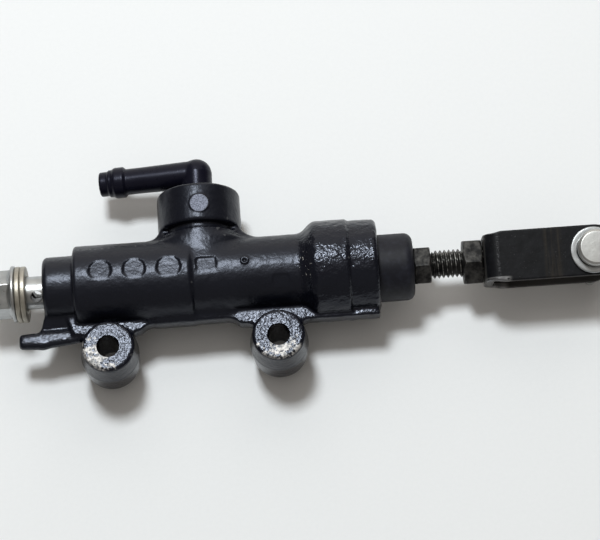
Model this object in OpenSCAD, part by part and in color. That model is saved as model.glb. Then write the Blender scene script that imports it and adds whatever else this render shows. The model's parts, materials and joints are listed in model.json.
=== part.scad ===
// Rear brake master cylinder for a motorcycle. Millimetres.
// +X runs along the cylinder from the outlet to the clevis, +Y from the mounting holes to the
// inlet cup, +Z up from the mounting face. The origin is midway between the mounting holes.
// Most parts are drawn in the bore frame: the same axes, with the origin on the bore axis, about
// midway between the bosses.

/* [Mounting] */
// Distance between the two mounting holes
mount_spacing = 47; // [45:0.5:49]
// Radius of the mounting holes
mount_hole_r = 3.1; // [2.7:0.1:3.4]
// Shift of the bore frame along X from the middle of the mounting holes
bore_shift = -0.6; // [-2:0.1:1]
// Distance from the mounting holes to the bore axis
axis_y = 19.7; // [19:0.1:21]
// Height of the bore axis above the mounting face
axis_z = 8.3; // [7.5:0.1:9]
// Height of the bosses' front faces above the mounting face
boss_h = 15.8; // [14:0.1:17]

/* [Body] */
// Radius of the cylinder bore
bore_r = 7; // [6.35:0.05:7.2]
// Outer radius of the port boss at the outlet end
port_boss_r = 9.1; // [8.5:0.1:10]
// Outer radius of the barrel on the outlet side
barrel_left_r = 11.6; // [11:0.1:12.5]
// Outer radius of the barrel on the pushrod side
barrel_right_r = 10.7; // [10.2:0.1:11.5]
// Outer radius of the collar
collar_r = 13.8; // [13:0.1:15]
// Outer radius of the collar's end section
collar_end_r = 13.1; // [12.6:0.1:13.8]
// Radius of the inlet cup
cup_r = 11.6; // [11.3:0.05:12.5]
// Distance from the bore axis to the top of the inlet cup
cup_top = 25.2; // [24.5:0.1:27]

/* [Travel] */
// Full stroke of the piston
stroke = 8; // [6:0.5:9]
// Roll of the clevis about the pushrod
clevis_roll = 12; // [0:1:30]
// Swivel of the inlet elbow about the cup
elbow_swivel = 6; // [0:1:20]

/* [Pushrod and clevis] */
// Outer radius of the adjuster thread
thread_r = 3.95; // [3.9:0.01:3.97]
// Width across flats of the lock nut
nut_af = 12; // [11:0.5:13]
// Width across flats of the pushrod's hexagon
rod_hex_af = 10; // [9:0.5:11]
// Width of the clevis ears
ear_w = 14.1; // [13:0.1:16]
// Height over both clevis ears
clevis_h = 17; // [17:0.5:19]
// Thickness of the clevis sheet
clevis_t = 2.5; // [2:0.1:2.6]
// Radius of the clevis pin
pin_r = 4; // [3.5:0.1:4.2]
// Position of the clevis pin along the bore axis
pin_x = 113; // [110:0.1:116]

/* [Hidden] */
$fn = 48;

// Overlap between joined shapes of one solid, and running gap between fitted pieces
lap = 0.5;
run = 0.05;

// Stations of the casting along the bore axis
port_x0 = -40.4;
port_x1 = -31.7;
barrel_mid_x = 1.2;
collar_x0 = 35.3;
collar_x1 = 44.9;
collar_x2 = 53;
cone_x0 = 30.9;
// The casting's outside is a little off the bore axis, away from the mounting holes
port_dy = 0.5;
barrel_left_dy = 0.5;
barrel_right_dy = 0.6;
collar_dy = 0.8;
collar_end_dy = 0.95;

// Mounting bosses
boss_mid_r = 8.1;
boss_front_r = 7.2;
boss_back_r = 7.6;
boss_round = 0.8;

// Webs between the bosses and the barrel
web_below = 2.6;
web_above = 2.2;
web_corner_r = 5;
web_gap_top = 7.6;
web_gap_x0 = -15;
web_gap_x1 = 14.8;
web_left_x = -35.5;
web_end_gap = 0.6;
foot_h = 12;
rib_y = 5.8;

// Hose stop lug beside the outlet
lug_tip = [-45.9, 5.3];
lug_tip_r = 2.1;
lug_root = [-41.3, 5.1];
lug_root_r = 2.4;
lug_h = 4.6;
lug_web = [[-38, 2.9], [-32, 3.1], [-30, 10], [-37, 10.5], [-40, 8.4]];

// Inlet cup, measured outward from the bore axis
cup_x = 3.8;
cup_base = 14.2;
cup_groove = 12.7;
cup_groove_r = 9.7;
neck_r = 10.3;
cup_bore_r = 9.7;
cup_floor = 17.5;
seal_bore_r = 6.9;
seal_floor = 12.2;
cup_disc_r = 2.5;
cup_disc_y = 19.5;
cup_clip_y = 20.4;

// Passages
port_thread_r = 5;
port_depth = 14;
outlet_r = 1.5;
bore_end = -12 - stroke;
bore_end_edge = 0.8;
supply_x = 9.5;
supply_r = 1.5;
compensating_x = -1;
compensating_r = 0.6;

// Piston group at rest
ball_x = 41;
ball_r = 4.75;
piston_nose = 0.6;
piston_nose_r = 2.1;
piston_waist_r = 4.2;
piston_head = 5.6;
piston_waist_x0 = 8.1;
piston_waist_x1 = 32.5;
cup2_x0 = 34.5;
cup2_x1 = 38;
cup2_r = 4.9;
piston_end = 41.8;
seat_x = 1.7;
seat_t = 0.9;

// Return spring
wire_r = 0.65;
spring_r = 4.9;
spring_x0 = bore_end + 0.6;
spring_x1 = seat_x - run;
spring_turns = 8;
spring_steps = 176;
spring_sides = 8;

// Retaining stack in the collar
washer_bore_r = 8.6;
washer_x0 = 43.35;
washer_x1 = 44.55;
washer_hole_r = 4.3;
clip_x0 = 44.7;
clip_t = 1.2;
clip_w = 1.7;
clip_depth = 0.6;
clip_gap = 20;
clip_lug_r = 1.5;
clip_groove_r = 9.4;
boot_bore_x = 46.3;
boot_bore_r = 9.7;
boot_bead_x0 = 47;
boot_bead_x1 = 49.4;
boot_bead_r = 10.4;

// Dust boot
boot_r = 9.45;
boot_wall = 1.3;
boot_x1 = 63;
boot_hole_r = 3.6;
boot_round = 1.8;
boot_lip_x0 = boot_x1 - 3.6;

// Pushrod
rod_r = 3.4;
hex_x1 = 67.7;
rod_end_x = 94;
corner_turn = 20;
nut_x0 = 76.7;
nut_x1 = 82.1;
clevis_x0 = 82.4;
nut_hole_r = thread_r + run;

// Clevis
clevis_bend_r = 4.2;
clevis_inner_r = 1.7;
ear_r = ear_w / 2;
waist = 0.4;
joint_nut_t = 6.4;
nut_seat_r = 4.3;
joint_nut_af = clevis_h - 2 * clevis_t - 0.4;

// Clevis pin, measured from the middle of the clevis
washer_t = 1.2;
pin_washer_r = 6.45;
pin_washer_hole_r = pin_r + 0.6;
pin_washer_shift = 0.5;
pin_head_r = 5.05;
pin_head_h = 3.4;
cotter_drop = 1.2;
cotter_hole_r = 1.15;
cotter_wire_r = 0.5;
pin_tail = 3.4;
pin_low = -clevis_h / 2 - washer_t - pin_tail;

// Inlet elbow, measured outward from the bore axis
spigot_r = 6.6;
spigot_groove_r = 4.4;
o_ring_y0 = 13.9;
o_ring_y1 = 16.3;
o_ring_r = 5.6;
elbow_disc_y = 20.2;
stem_r = 4.3;
tube_r = 3.65;
tube_root_r = 3.8;
tube_y = 32.3;
tube_len = 27.8;
tube_bore_r = 2.1;
tip_r = 3.5;
bead_r = 4.4;
// Stations of the hose bead, measured from the tube's tip
bead_x0 = 2.6;
bead_x1 = 4.6;
bead_x2 = 7;
bead_x3 = 7.8;

// Banjo bolt
bolt_head_x0 = -56.5;
bolt_head_x1 = -49.5;
bolt_flange_x1 = -48.4;
bolt_flange_r = 7.9;
bolt_shank_r = 4.6;
bolt_thread_r = port_thread_r - run;
bolt_end_x = -29.5;
bolt_turn = 4;
oil_way_x0 = -44.6;
oil_way_r = 1.75;
cross_x = -42.4;
cross_r = 1.6;
cross_turn = 34;
dish_r = 4;
crush_r = 7.9;
crush_t = 1.5;
crush_hole_r = 5.1;

// ---- helpers ----------------------------------------------------------------------------

// Moves into the bore frame
module in_bore() translate([bore_shift, axis_y, axis_z]) children();

// Moves into the clevis frame: bore frame, rolled about the rod, with +Z along the pin
module in_clevis() in_bore() rotate([clevis_roll, 0, 0]) children();

// Solid of revolution about X from an outline of [x, radius] points
module turned(points, sides = 64)
    rotate([0, 90, 0]) rotate_extrude($fn = sides) polygon([for (p = points) [p[1], p[0]]]);

// Cylinder along X between two stations
module rod_x(x0, x1, r, sides = 64)
    translate([x0, 0, 0]) rotate([0, 90, 0]) cylinder(r = r, h = x1 - x0, $fn = sides);

// Cylinder along Y between two distances from the bore axis
module rod_y(y0, y1, r, sides = 64)
    translate([0, y0, 0]) rotate([-90, 0, 0]) cylinder(r = r, h = y1 - y0, $fn = sides);

// Points of an arc, for the round stretches of an outline
function arc(centre, r, a0, a1, steps = 6) =
    [for (i = [0 : steps]) let (a = a0 + (a1 - a0) * i / steps)
        centre + r * [cos(a), sin(a)]];

// Hexagonal nut along X with both ends' corners turned off, one corner facing the upper front
module hex_x(x0, x1, af, sink = 0.12) {
    corner_r = af / sqrt(3);
    drop = (corner_r - af / 2) * 0.55;
    intersection() {
        rotate([corner_turn, 0, 0]) translate([x0, 0, 0]) rotate([0, 90, 0])
            cylinder(r = corner_r, h = x1 - x0, $fn = 6);
        turned([[x0, 0], [x0, corner_r - drop - sink], [x0 + drop, corner_r + sink],
            [x1 - drop, corner_r + sink], [x1, corner_r - drop - sink], [x1, 0]]);
    }
}

// Flat ring along X
module ring_x(x0, x1, r_out, r_in) difference() {
    rod_x(x0, x1, r_out);
    rod_x(x0 - 1, x1 + 1, r_in);
}

// Internal snap ring lying in the XY plane, its gap towards +X
module snap_ring(r_out, width, t, gap, lug_r) linear_extrude(height = t) difference() {
    union() {
        difference() {
            circle(r = r_out, $fn = 96);
            translate([width * 0.22, 0]) circle(r = r_out - width, $fn = 96);
            polygon([[0, 0], 2 * r_out * [cos(gap), sin(gap)], [3 * r_out, 0],
                2 * r_out * [cos(gap), -sin(gap)]]);
        }
        for (s = [-1, 1]) rotate(s * (gap + 6)) translate([r_out - lug_r - 0.1, 0])
            circle(r = lug_r, $fn = 32);
    }
    for (s = [-1, 1]) rotate(s * (gap + 6)) translate([r_out - lug_r - 0.3, 0])
        circle(r = lug_r * 0.45, $fn = 24);
}

// ---- casting ----------------------------------------------------------------------------

module barrel_outside() {
    edge = 1.5;
    translate([0, port_dy, 0]) turned(concat([[port_x0, 0]],
        arc([port_x0 + edge, port_boss_r - edge], edge, 180, 90),
        [[port_x1 + lap, port_boss_r], [port_x1 + lap, 0]]));
    translate([0, barrel_left_dy, 0]) turned(concat([[port_x1, 0]],
        arc([port_x1 + 1, barrel_left_r - 1], 1, 180, 90),
        [[barrel_mid_x, barrel_left_r], [barrel_mid_x + lap, barrel_right_r],
            [barrel_mid_x + lap, 0]]));
    translate([0, barrel_right_dy, 0]) turned([[barrel_mid_x, 0],
        [barrel_mid_x, barrel_right_r], [cone_x0 + lap, barrel_right_r], [cone_x0 + lap, 0]]);
    translate([0, collar_dy, 0]) turned(concat([[cone_x0, 0], [cone_x0, barrel_right_r]],
        arc([collar_x0 + 1, collar_r - 1], 1, 150, 90),
        arc([collar_x1 - 0.6, collar_r - 0.6], 0.6, 90, 30), [[collar_x1 + lap, 0]]));
    translate([0, collar_end_dy, 0]) turned(concat([[collar_x1, 0], [collar_x1, collar_end_r]],
        arc([collar_x2 - edge, collar_end_r - edge], edge, 90, 0), [[collar_x2, 0]]));
}

module mounting_boss() {
    front = boss_h;
    rotate_extrude($fn = 64) polygon(concat(
        [[0, 0], [boss_back_r - 0.5, 0], [boss_back_r, 0.5], [boss_mid_r, axis_z - 1],
            [boss_mid_r, axis_z + 0.4]],
        arc([boss_front_r + 0.1 - boss_round, front - boss_round], boss_round, 30, 90),
        [[0, front]]));
}

// Flat webs and rib at the parting plane, seen from above
module web_outline() difference() {
    union() {
        translate([web_left_x, rib_y])
            square([collar_x2 - web_end_gap - web_left_x, axis_y - rib_y]);
        translate([-bore_shift - mount_spacing / 2 - boss_mid_r, 0])
            square([mount_spacing + 2 * boss_mid_r, foot_h]);
    }
    // space between the bosses
    for (x = [web_gap_x0 + web_corner_r, web_gap_x1 - web_corner_r])
        translate([x, web_gap_top - web_corner_r]) circle(r = web_corner_r);
    translate([web_gap_x0 + web_corner_r, -lap])
        square([web_gap_x1 - web_gap_x0 - 2 * web_corner_r, web_gap_top + lap]);
    translate([web_gap_x0, -lap]) square([web_gap_x1 - web_gap_x0, web_gap_top - web_corner_r + lap]);
}

module lug_outline() {
    translate(lug_tip) circle(r = lug_tip_r);
    translate(lug_root) circle(r = lug_root_r);
    polygon([lug_tip - [0, lug_tip_r], lug_root - [0, lug_root_r], lug_root + [0, lug_root_r],
        lug_tip + [0, lug_tip_r]]);
    polygon(concat([lug_root - [0, lug_root_r]], lug_web, [lug_root + [0, lug_root_r]]));
}

module webs() translate([bore_shift, 0, axis_z]) {
    translate([0, 0, -web_below]) linear_extrude(height = web_below + web_above) web_outline();
    translate([0, 0, -lug_h / 2]) linear_extrude(height = lug_h) lug_outline();
}

module inlet_cup_outside() {
    translate([cup_x, 0, 0]) {
        rod_y(0, cup_groove + lap, neck_r);
        rod_y(cup_groove, cup_base + lap, cup_groove_r);
        rotate([-90, 0, 0]) rotate_extrude($fn = 96) polygon(concat(
            [[0, cup_base], [cup_r - 0.4, cup_base], [cup_r, cup_base + 0.4]],
            arc([cup_r - 0.8, cup_top - 0.8], 0.8, 0, 90, 4), [[0, cup_top]]));
        translate([0, cup_disc_y, 0]) cylinder(r = cup_disc_r, h = cup_r + 0.15, $fn = 32);
    }
}

module inner_passages() {
    // main bore with a chamfered end
    turned([[bore_end, 0], [bore_end, bore_r - bore_end_edge], [bore_end + bore_end_edge, bore_r],
        [collar_x2, bore_r], [collar_x2, 0]]);
    // stop washer seat, snap ring groove and boot seat
    rod_x(washer_x0 - run, collar_x2, washer_bore_r);
    rod_x(clip_x0 - run, clip_x0 + clip_t + run, clip_groove_r);
    rod_x(boot_bore_x, collar_x2 + 1, boot_bore_r);
    rod_x(boot_bead_x0 - 0.1, boot_bead_x1 + 0.1, boot_bead_r + 0.1);
    // outlet port and passage
    rod_x(port_x0 - 1, port_x0 + port_depth, port_thread_r);
    rod_x(port_x0 + port_depth - 1, bore_end + 1, outlet_r);
    // inlet cup, seal seat, supply port and compensating port
    translate([cup_x, 0, 0]) {
        rod_y(cup_floor, cup_top + 1, cup_bore_r);
        rod_y(cup_clip_y - run, cup_clip_y + clip_t + run, cup_bore_r + clip_depth + 0.1);
        rod_y(seal_floor, cup_floor + 1, seal_bore_r);
    }
    translate([supply_x, 0, 0]) rod_y(0, seal_floor + 1, supply_r);
    translate([compensating_x, 0, 0]) rod_y(0, seal_floor + 1, compensating_r);
}

module housing() color([0.05, 0.05, 0.06]) difference() {
    union() {
        in_bore() barrel_outside();
        in_bore() inlet_cup_outside();
        webs();
        for (s = [-1, 1]) translate([s * mount_spacing / 2, 0, 0]) mounting_boss();
    }
    in_bore() inner_passages();
    for (s = [-1, 1]) translate([s * mount_spacing / 2, 0, -1])
        cylinder(r = mount_hole_r, h = boss_h + 2, $fn = 48);
}

// ---- outlet -----------------------------------------------------------------------------

module banjo_bolt() color([0.72, 0.73, 0.74]) in_bore() difference() {
    union() {
        rotate([bolt_turn, 0, 0]) hex_x(bolt_head_x0, bolt_head_x1, nut_af);
        turned([[bolt_head_x1 - lap, 0], [bolt_head_x1 - lap, nut_af / 2],
            [bolt_head_x1 + 0.2, bolt_flange_r], [bolt_flange_x1, bolt_flange_r],
            [bolt_flange_x1, 0]]);
        rod_x(bolt_flange_x1 - lap, port_x0 + lap, bolt_shank_r);
        turned([[port_x0, 0], [port_x0, bolt_shank_r], [port_x0 + 0.5, bolt_thread_r],
            [bolt_end_x - 1, bolt_thread_r], [bolt_end_x, bolt_thread_r - 1], [bolt_end_x, 0]]);
    }
    // oil way along the bolt and across it in the banjo gap
    rod_x(oil_way_x0, bolt_end_x + 1, oil_way_r);
    rotate([cross_turn, 0, 0]) translate([cross_x, 0, -bolt_flange_r])
        cylinder(r = cross_r, h = 2 * bolt_flange_r, $fn = 32);
    // shallow dish in the head
    turned([[bolt_head_x0 - 1, 0], [bolt_head_x0 - 1, dish_r], [bolt_head_x0, dish_r],
        [bolt_head_x0 + 0.7, dish_r - 0.7], [bolt_head_x0 + 0.7, 0]]);
}

module crush_washer(x0, shift) color([0.6, 0.5, 0.38]) in_bore()
    translate([0, shift[0], shift[1]]) ring_x(x0, x0 + crush_t, crush_r, crush_hole_r);
module crush_washer_outer() crush_washer(bolt_flange_x1 + run, [-0.2, -0.3]);
module crush_washer_inner() crush_washer(bolt_flange_x1 + crush_t + 2 * run, [-0.3, -0.1]);

// ---- inlet ------------------------------------------------------------------------------

// Moves into the elbow frame: the stem along +Y, the hose tube along -X
module in_elbow() in_bore() translate([cup_x, 0, 0]) rotate([0, -elbow_swivel, 0]) children();

module inlet_elbow() color([0.06, 0.06, 0.07]) in_elbow() difference() {
    union() {
        rod_y(seal_floor + 0.4, o_ring_y0, spigot_r);
        rod_y(o_ring_y0 - 0.1, o_ring_y1 + 0.1, spigot_groove_r);
        rod_y(o_ring_y1, cup_floor + 0.2, spigot_r);
        rod_y(cup_floor + 0.1, elbow_disc_y, cup_bore_r - 0.15);
        // stem with a round top
        rotate([-90, 0, 0]) rotate_extrude($fn = 64) polygon(concat(
            [[0, elbow_disc_y - 0.2], [stem_r, elbow_disc_y - 0.2]],
            arc([0, tube_y], stem_r, 0, 90, 16)));
        translate([0, tube_y, 0]) turned([
            [-tube_len, 0], [-tube_len, tip_r - 0.5], [-tube_len + 0.5, tip_r],
            [-tube_len + bead_x0, tip_r], [-tube_len + bead_x1, bead_r],
            [-tube_len + bead_x2, bead_r], [-tube_len + bead_x3, tube_r],
            [0, tube_root_r], [0, 0]]);
    }
    translate([0, tube_y, 0]) rod_x(-tube_len - 1, 0, tube_bore_r, 48);
    rod_y(seal_floor, tube_y, tube_bore_r, 48);
}

module inlet_o_ring() color([0.03, 0.03, 0.03]) in_elbow() translate([0, (o_ring_y0 + o_ring_y1) / 2, 0])
    rotate([-90, 0, 0]) rotate_extrude($fn = 64) translate([o_ring_r, 0])
        circle(r = (o_ring_y1 - o_ring_y0) / 2 - run, $fn = 24);

module inlet_circlip() color([0.5, 0.5, 0.5]) in_bore() translate([cup_x, cup_clip_y, 0])
    rotate([-90, 0, 0]) rotate(-60)
        snap_ring(cup_bore_r + clip_depth, clip_w, clip_t, clip_gap, clip_lug_r);

// ---- piston group -----------------------------------------------------------------------

module piston() color([0.7, 0.66, 0.55]) in_bore() {
    land_r = bore_r - run;
    socket_r = ball_r + run;
    mouth = acos((piston_end - ball_x) / socket_r);
    turned(concat([[piston_nose, 0], [piston_nose, piston_nose_r - 0.5],
        [piston_nose + 0.5, piston_nose_r], [piston_head, piston_nose_r],
        [piston_head, land_r], [piston_waist_x0, land_r], [piston_waist_x0 + 1, piston_waist_r],
        [piston_waist_x1 - 1, piston_waist_r], [piston_waist_x1, land_r], [cup2_x0, land_r],
        [cup2_x0, cup2_r], [cup2_x1, cup2_r], [cup2_x1, land_r], [piston_end, land_r]],
        // socket for the pushrod's ball
        arc([ball_x, 0], socket_r, mouth, 180, 16)));
}

// Rubber cup seal, lip towards the outlet
module cup_seal(x0, x1, r_in) {
    web = bore_r - r_in;
    color([0.05, 0.05, 0.05]) in_bore() turned([
        [x0 + 0.5, r_in], [x0, r_in + 0.12 * web], [x0, r_in + 0.32 * web],
        [x0 + 1.1, r_in + 0.5 * web], [x0 - 0.2, r_in + 0.72 * web],
        [x0 - 0.2, bore_r - 0.25], [x0 + 0.4, bore_r - run], [x1 - 0.8, bore_r - 0.25],
        [x1 - run, bore_r - 0.6], [x1 - run, r_in]]);
}
module primary_cup() cup_seal(seat_x + seat_t + 0.35, piston_head, piston_nose_r + run);
module secondary_cup() cup_seal(cup2_x0 + 0.35, cup2_x1, cup2_r + run);

module spring_seat() color([0.6, 0.6, 0.6]) in_bore()
    ring_x(seat_x, seat_x + seat_t, bore_r - 0.8, piston_nose_r + run);

// Share of the spring's free height at a share of its wire's length, with flat end coils
function coil_rise(u) = let (flat_share = 1.1 / spring_turns)
    u < flat_share ? 0.03 * u / flat_share :
    u > 1 - flat_share ? 1 - 0.03 * (1 - u) / flat_share :
    0.03 + 0.94 * (u - flat_share) / (1 - 2 * flat_share);
function coil_point(i, j) = let (
    u = i / spring_steps,
    turn = 360 * spring_turns * u,
    around = 360 * j / spring_sides,
    r = spring_r + wire_r * cos(around),
    rise = spring_x1 - spring_x0 - 2 * wire_r)
    [spring_x0 + wire_r + rise * coil_rise(u) + wire_r * sin(around), r * cos(turn), r * sin(turn)];
module return_spring() color([0.6, 0.6, 0.62]) in_bore() polyhedron(
    points = [for (i = [0 : spring_steps]) for (j = [0 : spring_sides - 1]) coil_point(i, j)],
    faces = concat(
        [[for (j = [0 : spring_sides - 1]) j]],
        [for (i = [0 : spring_steps - 1]) for (j = [0 : spring_sides - 1])
            let (k = (j + 1) % spring_sides, a = i * spring_sides, b = a + spring_sides)
            [a + j, b + j, b + k, a + k]],
        [[for (j = [spring_sides - 1 : -1 : 0]) spring_steps * spring_sides + j]]),
    convexity = 10);

// ---- pushrod ----------------------------------------------------------------------------

module pushrod() color([0.13, 0.12, 0.11]) in_bore() {
    translate([ball_x, 0, 0]) rotate([0, 90, 0]) sphere(r = ball_r, $fn = 64);
    rod_x(ball_x + 2, boot_x1 + 0.2, rod_r);
    hex_x(boot_x1, hex_x1, rod_hex_af);
    turned([[hex_x1 - 0.2, 0], [hex_x1 - 0.2, thread_r - 0.7], [hex_x1 + 0.5, thread_r],
        [rod_end_x - 1, thread_r], [rod_end_x, thread_r - 0.8], [rod_end_x, 0]]);
}

module stop_washer() color([0.55, 0.55, 0.56]) in_bore()
    ring_x(washer_x0, washer_x1, washer_bore_r - run, washer_hole_r);

module pushrod_circlip() color([0.45, 0.45, 0.46]) in_bore() translate([clip_x0, 0, 0])
    rotate([0, 90, 0]) snap_ring(clip_groove_r - run, clip_w, clip_t, clip_gap, clip_lug_r);

module dust_boot() color([0.09, 0.1, 0.12]) in_bore() {
    inner_r = boot_r - boot_wall;
    inner_x = boot_x1 - boot_wall - 0.1;
    turned(concat(
        [[boot_bore_x + 0.1, inner_r], [boot_bore_x + 0.1, boot_r], [boot_bead_x0, boot_r],
            [boot_bead_x0, boot_bead_r], [boot_bead_x1, boot_bead_r], [boot_bead_x1, boot_r]],
        arc([boot_x1 - 0.1 - boot_round, boot_r - boot_round], boot_round, 90, 0),
        [[boot_x1 - 0.1, boot_hole_r + 0.5], [boot_x1 - 0.4, boot_hole_r],
            [boot_lip_x0, boot_hole_r], [boot_lip_x0 - 0.3, boot_hole_r + 0.9],
            [inner_x, boot_hole_r + 1.3], [inner_x, inner_r - 0.6], [inner_x - 0.7, inner_r]]));
}

// ---- nuts and clevis --------------------------------------------------------------------

module lock_nut() color([0.1, 0.1, 0.1]) in_bore() difference() {
    hex_x(nut_x0, nut_x1, nut_af);
    rod_x(nut_x0 - 1, nut_x1 + 1, nut_hole_r);
}

// Side view of the bent sheet, in X and Z
module clevis_profile() difference() {
    union() {
        translate([clevis_x0 + clevis_bend_r, -clevis_h / 2])
            square([pin_x + ear_r - clevis_x0 - clevis_bend_r, clevis_h]);
        translate([clevis_x0, -clevis_h / 2 + clevis_bend_r])
            square([clevis_bend_r + 1, clevis_h - 2 * clevis_bend_r]);
        for (s = [-1, 1]) translate([clevis_x0 + clevis_bend_r, s * (clevis_h / 2 - clevis_bend_r)])
            circle(r = clevis_bend_r);
    }
    gap_h = clevis_h - 2 * clevis_t;
    translate([clevis_x0 + clevis_t + clevis_inner_r, -gap_h / 2])
        square([pin_x + ear_w, gap_h]);
    translate([clevis_x0 + clevis_t, -gap_h / 2 + clevis_inner_r])
        square([clevis_inner_r + 1, gap_h - 2 * clevis_inner_r]);
    for (s = [-1, 1])
        translate([clevis_x0 + clevis_t + clevis_inner_r, s * (gap_h / 2 - clevis_inner_r)])
            circle(r = clevis_inner_r);
}

// The sheet before bending, seen along the pin
module clevis_blank() {
    translate([clevis_x0 - 1, -ear_r + waist]) square([clevis_bend_r + 2, ear_w - 2 * waist]);
    translate([clevis_x0 + clevis_bend_r, -ear_r]) square([pin_x - clevis_x0 - clevis_bend_r, ear_w]);
    translate([pin_x, 0]) circle(r = ear_r, $fn = 64);
}

module clevis() color([0.06, 0.06, 0.06]) in_clevis() difference() {
    intersection() {
        translate([0, ear_w, 0]) rotate([90, 0, 0])
            linear_extrude(height = 2 * ear_w) clevis_profile();
        translate([0, 0, -clevis_h]) linear_extrude(height = 2 * clevis_h) clevis_blank();
    }
    rod_x(clevis_x0 - 1, clevis_x0 + clevis_t + 1, thread_r + 0.3);
    translate([pin_x, 0, -clevis_h]) cylinder(r = pin_r + run, h = 2 * clevis_h, $fn = 64);
}

module joint_nut() color([0.2, 0.2, 0.2]) in_clevis() {
    x0 = clevis_x0 + clevis_t + run;
    corner_r = joint_nut_af / sqrt(3);
    difference() {
        intersection() {
            translate([x0, 0, 0]) rotate([0, 90, 0]) rotate(30)
                cylinder(r = corner_r, h = joint_nut_t, $fn = 6);
            turned([[x0, 0], [x0, nut_seat_r], [x0 + corner_r + lap - nut_seat_r, corner_r + lap],
                [x0 + joint_nut_t, corner_r + lap], [x0 + joint_nut_t, 0]]);
        }
        rod_x(x0 - 1, x0 + joint_nut_t + 1, nut_hole_r);
    }
}

// ---- clevis pin -------------------------------------------------------------------------

module clevis_pin() color([0.76, 0.76, 0.77]) in_clevis() translate([pin_x, 0, 0]) difference() {
    seat = clevis_h / 2 + washer_t + 2 * run;
    edge = 1.1;
    rotate_extrude($fn = 64) polygon(concat(
        [[0, pin_low], [pin_r - 0.7, pin_low], [pin_r, pin_low + 0.7], [pin_r, seat],
            [pin_head_r, seat]],
        arc([pin_head_r - edge, seat + pin_head_h - edge], edge, 0, 90, 5),
        [[0, seat + pin_head_h]]));
    translate([0, 0, -clevis_h / 2 - washer_t - cotter_drop]) rotate([90, 0, 0])
        translate([0, 0, -pin_r - 1]) cylinder(r = cotter_hole_r, h = 2 * pin_r + 2, $fn = 32);
}

module pin_washer(z0, shift) in_clevis() translate([pin_x + shift[0], shift[1], z0]) difference() {
    cylinder(r = pin_washer_r, h = washer_t, $fn = 64);
    translate([0, 0, -1]) cylinder(r = pin_washer_hole_r, h = washer_t + 2, $fn = 64);
}
module head_washer() color([0.74, 0.74, 0.75])
    pin_washer(clevis_h / 2 + run, pin_washer_shift * [-0.9, -0.43]);
module keeper_washer() color([0.74, 0.74, 0.75])
    pin_washer(-clevis_h / 2 - washer_t - run, pin_washer_shift * [-0.3, 0.6]);

// Split pin: an eye at the front and two legs through the pin, bent apart behind it
module cotter_pin() color([0.7, 0.7, 0.7]) in_clevis()
    translate([pin_x, 0, -clevis_h / 2 - washer_t - cotter_drop]) {
        leg = pin_r + 1.2;
        eye_r = 1.15;
        splay = 55;
        tail = 3.2;
        for (s = [-1, 1]) translate([s * (cotter_wire_r + 0.02), 0, 0]) {
            translate([0, leg, 0]) rotate([90, 0, 0])
                cylinder(r = cotter_wire_r, h = 2 * leg, $fn = 24);
            translate([0, leg, 0]) sphere(r = cotter_wire_r + 0.03, $fn = 24);
            translate([0, leg, 0]) rotate([0, 0, -s * splay]) rotate([-90, 0, 0])
                cylinder(r = cotter_wire_r - 0.03, h = tail, $fn = 24);
        }
        translate([0, -leg - eye_r + 0.3, 0]) rotate_extrude($fn = 32)
            translate([eye_r, 0]) circle(r = cotter_wire_r + 0.05, $fn = 24);
    }

housing();
banjo_bolt();
crush_washer_outer();
crush_washer_inner();
inlet_elbow();
inlet_o_ring();
inlet_circlip();
piston();
primary_cup();
secondary_cup();
spring_seat();
return_spring();
pushrod();
stop_washer();
pushrod_circlip();
dust_boot();
lock_nut();
clevis();
joint_nut();
clevis_pin();
head_washer();
keeper_washer();
cotter_pin();
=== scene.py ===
import json
import math

import bmesh
import bpy
import numpy as np
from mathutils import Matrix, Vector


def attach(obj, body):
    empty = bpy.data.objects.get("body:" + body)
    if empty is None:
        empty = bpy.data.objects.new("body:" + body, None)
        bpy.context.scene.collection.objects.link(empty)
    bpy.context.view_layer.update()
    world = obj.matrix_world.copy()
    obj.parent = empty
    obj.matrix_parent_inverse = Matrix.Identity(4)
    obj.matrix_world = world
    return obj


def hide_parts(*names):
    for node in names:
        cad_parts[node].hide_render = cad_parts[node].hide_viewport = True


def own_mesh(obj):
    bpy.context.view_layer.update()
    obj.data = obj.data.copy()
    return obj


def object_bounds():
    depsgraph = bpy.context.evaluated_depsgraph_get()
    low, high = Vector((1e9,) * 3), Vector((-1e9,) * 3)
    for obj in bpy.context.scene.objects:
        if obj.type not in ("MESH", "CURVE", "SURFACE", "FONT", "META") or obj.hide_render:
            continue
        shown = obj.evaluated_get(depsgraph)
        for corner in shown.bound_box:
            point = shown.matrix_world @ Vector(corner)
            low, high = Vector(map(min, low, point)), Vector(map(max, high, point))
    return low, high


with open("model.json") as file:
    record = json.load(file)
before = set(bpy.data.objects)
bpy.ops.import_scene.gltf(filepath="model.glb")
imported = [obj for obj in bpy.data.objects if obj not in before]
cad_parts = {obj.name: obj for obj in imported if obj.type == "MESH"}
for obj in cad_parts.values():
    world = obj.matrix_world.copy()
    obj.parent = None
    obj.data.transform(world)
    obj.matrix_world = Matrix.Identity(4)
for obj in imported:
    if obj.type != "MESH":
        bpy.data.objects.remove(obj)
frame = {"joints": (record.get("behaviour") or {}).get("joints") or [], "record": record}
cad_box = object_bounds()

import openvdb
from mathutils import Matrix, Vector

# A rear brake master cylinder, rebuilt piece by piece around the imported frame.
# Meshes are drawn in millimetres in the bore frame: the row's axes, with the origin on the bore
# axis, about midway between the bosses. new_piece() moves them into the row frame, in metres.

MM = 0.001
record = frame["record"]
joints = {j["name"]: j for j in frame["joints"]}
mounts = {m["name"]: m for m in record["mounts"]}
body_of = {node: body for body, nodes in record["behaviour"]["bodies"].items() for node in nodes}


def joint_point(name):
    return Vector(joints[name]["pos_m"]) / MM


def shift(x, y=0, z=0):
    return Matrix.Translation((x, y, z))


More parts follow.
